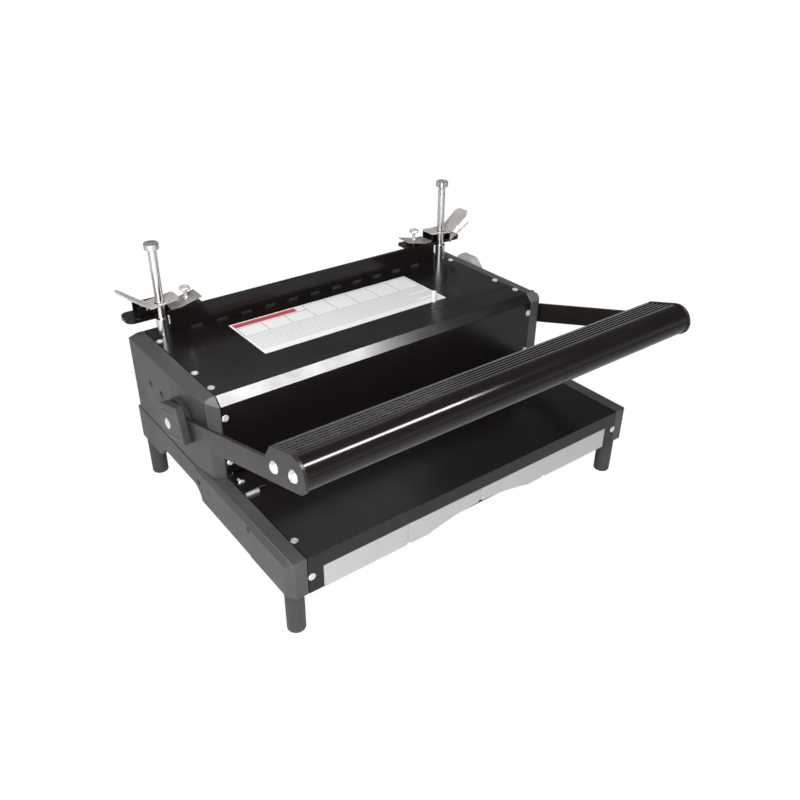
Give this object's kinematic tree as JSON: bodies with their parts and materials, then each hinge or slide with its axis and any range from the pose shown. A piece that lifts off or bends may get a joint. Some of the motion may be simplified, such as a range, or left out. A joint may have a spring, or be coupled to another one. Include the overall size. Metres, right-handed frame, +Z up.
{
  "type": "manual desk punch with strip press",
  "caption": "Lever-operated desk paper punch with a table, slotted press bar on two locking posts, depth knob, paper guide and pull-out chip tray.",
  "frame": {"origin": "on the floor, under the middle of the machine's overall box with the lever as pictured", "axes": "+X to the user's right along the grip, +Y away from the user, +Z up"},
  "size_m": [0.4426, 0.3537, 0.26],
  "materials": {
    "black_rubber": "matt moulded rubber",
    "grey_plastic": "dark grey plastic with a fine moulded texture",
    "dark_plastic": "near-black plastic",
    "black_paint": "semi-gloss black powder coat with a fine orange peel",
    "black_anodised": "glossy black anodised extrusion",
    "arm_paint": "satin brown-grey enamel",
    "plain_steel": "ground steel",
    "bronze": "plain bearing bronze",
    "chrome": "bright zinc and chrome plating",
    "pale_plastic": "light grey plastic",
    "knob_plastic": "mid grey plastic",
    "label_print": "laminated printed label",
    "white_nylon": "white nylon"
  },
  "bodies": {
    "frame": {"base_cover_left": "grey_plastic", "base_cover_right": "grey_plastic", "body_front_cover": "black_paint", "body_screws": "chrome", "body_top_plate": "black_paint", "bottom_plate": "black_paint", "die_plate": "plain_steel", "foot_front_left": "black_rubber", "foot_front_right": "black_rubber", "foot_rear_left": "black_rubber", "foot_rear_right": "black_rubber", "guide_rods": "plain_steel", "knob_axle": "plain_steel", "label_plate": "label_print", "nylon_peg": "white_nylon", "paper_ramp": "plain_steel", "post_left": "chrome", "post_nuts": "plain_steel", "post_right": "chrome", "post_sleeves": "chrome", "punch_guide": "plain_steel", "rear_panel": "black_paint", "return_springs": "plain_steel", "shaft_bushes": "bronze", "side_frame_left": "plain_steel", "side_frame_right": "plain_steel", "table_plate": "black_paint", "table_screws": "chrome", "tie_rods": "plain_steel", "upper_cover_left": "grey_plastic", "upper_cover_right": "grey_plastic"},
    "lever": {"arm_left": "arm_paint", "arm_right": "arm_paint", "handle_grip": "black_anodised", "handle_screws": "chrome", "main_shaft": "plain_steel", "pivot_hubs": "dark_plastic", "pivot_cap_left": "grey_plastic", "pivot_cap_right": "grey_plastic", "cap_screws": "chrome", "cams": "plain_steel"},
    "punch": {"punch_bar": "plain_steel", "punch_pins": "plain_steel"},
    "press_carriage": {"press_bar": "black_paint", "release_lever": "chrome", "clamp_plate_left": "chrome", "clamp_plate_right": "chrome", "clamp_bracket_left": "black_paint", "clamp_bracket_right": "black_paint"},
    "lock_left": {"lock_plate_left": "chrome"},
    "lock_right": {"lock_plate_right": "chrome"},
    "thumb_left": {"thumb_screw_left": "chrome"},
    "thumb_right": {"thumb_screw_right": "chrome"},
    "tray": {"chip_tray": "pale_plastic"},
    "knob": {"depth_knob": "knob_plastic"},
    "stop": {"depth_stop": "plain_steel"},
    "paper_guide": {"side_guide": "black_paint", "side_guide_screw": "chrome", "side_guide_tab": "chrome"}
  },
  "joints": [
    {"name": "lever_hinge", "type": "hinge", "parent": "frame", "child": "lever", "pos_m": [0, 0.05084, 0.129], "axis": [1, 0, 0], "range_deg": [-30, 28]},
    {"name": "punch_slide", "type": "slide", "parent": "frame", "child": "punch", "axis": [0, 0, -1], "range_m": [-0.0067, 0.0067], "deforming": ["return_springs"]},
    {"name": "press_bar_slide", "type": "slide", "parent": "frame", "child": "press_carriage", "axis": [0, 0, 1], "range_m": [0, 0.045]},
    {"name": "lock_left_tilt", "type": "hinge", "parent": "press_carriage", "child": "lock_left", "pos_m": [-0.187, 0.16174, 0.1939], "axis": [0, 1, 0], "range_deg": [0, 5.5]},
    {"name": "lock_right_tilt", "type": "hinge", "parent": "press_carriage", "child": "lock_right", "pos_m": [0.187, 0.16174, 0.1939], "axis": [0, -1, 0], "range_deg": [0, 5.5]},
    {"name": "thumb_left_turn", "type": "hinge", "parent": "press_carriage", "child": "thumb_left", "pos_m": [-0.1445, 0.15974, 0.1962], "axis": [0, 0, 1], "continuous": true},
    {"name": "thumb_right_turn", "type": "hinge", "parent": "press_carriage", "child": "thumb_right", "pos_m": [0.1445, 0.15974, 0.1962], "axis": [0, 0, 1], "continuous": true},
    {"name": "tray_slide", "type": "slide", "parent": "frame", "child": "tray", "axis": [0, -1, 0], "range_m": [0, 0.15]},
    {"name": "knob_turn", "type": "hinge", "parent": "frame", "child": "knob", "pos_m": [0.212, 0.13434, 0.143], "axis": [1, 0, 0], "range_deg": [-180, 180]},
    {"name": "stop_slide", "type": "slide", "parent": "frame", "child": "stop", "axis": [0, 1, 0], "range_m": [-0.0037, 0.0037]},
    {"name": "paper_guide_slide", "type": "slide", "parent": "frame", "child": "paper_guide", "axis": [1, 0, 0], "range_m": [0, 0.04]}
  ],
  "couplings": [
    {"joint": "punch_slide", "follows": "lever_hinge", "m_per_rad": 0.0125},
    {"joint": "knob_turn", "follows": "stop_slide", "rad_per_m": 833.33}
  ]
}
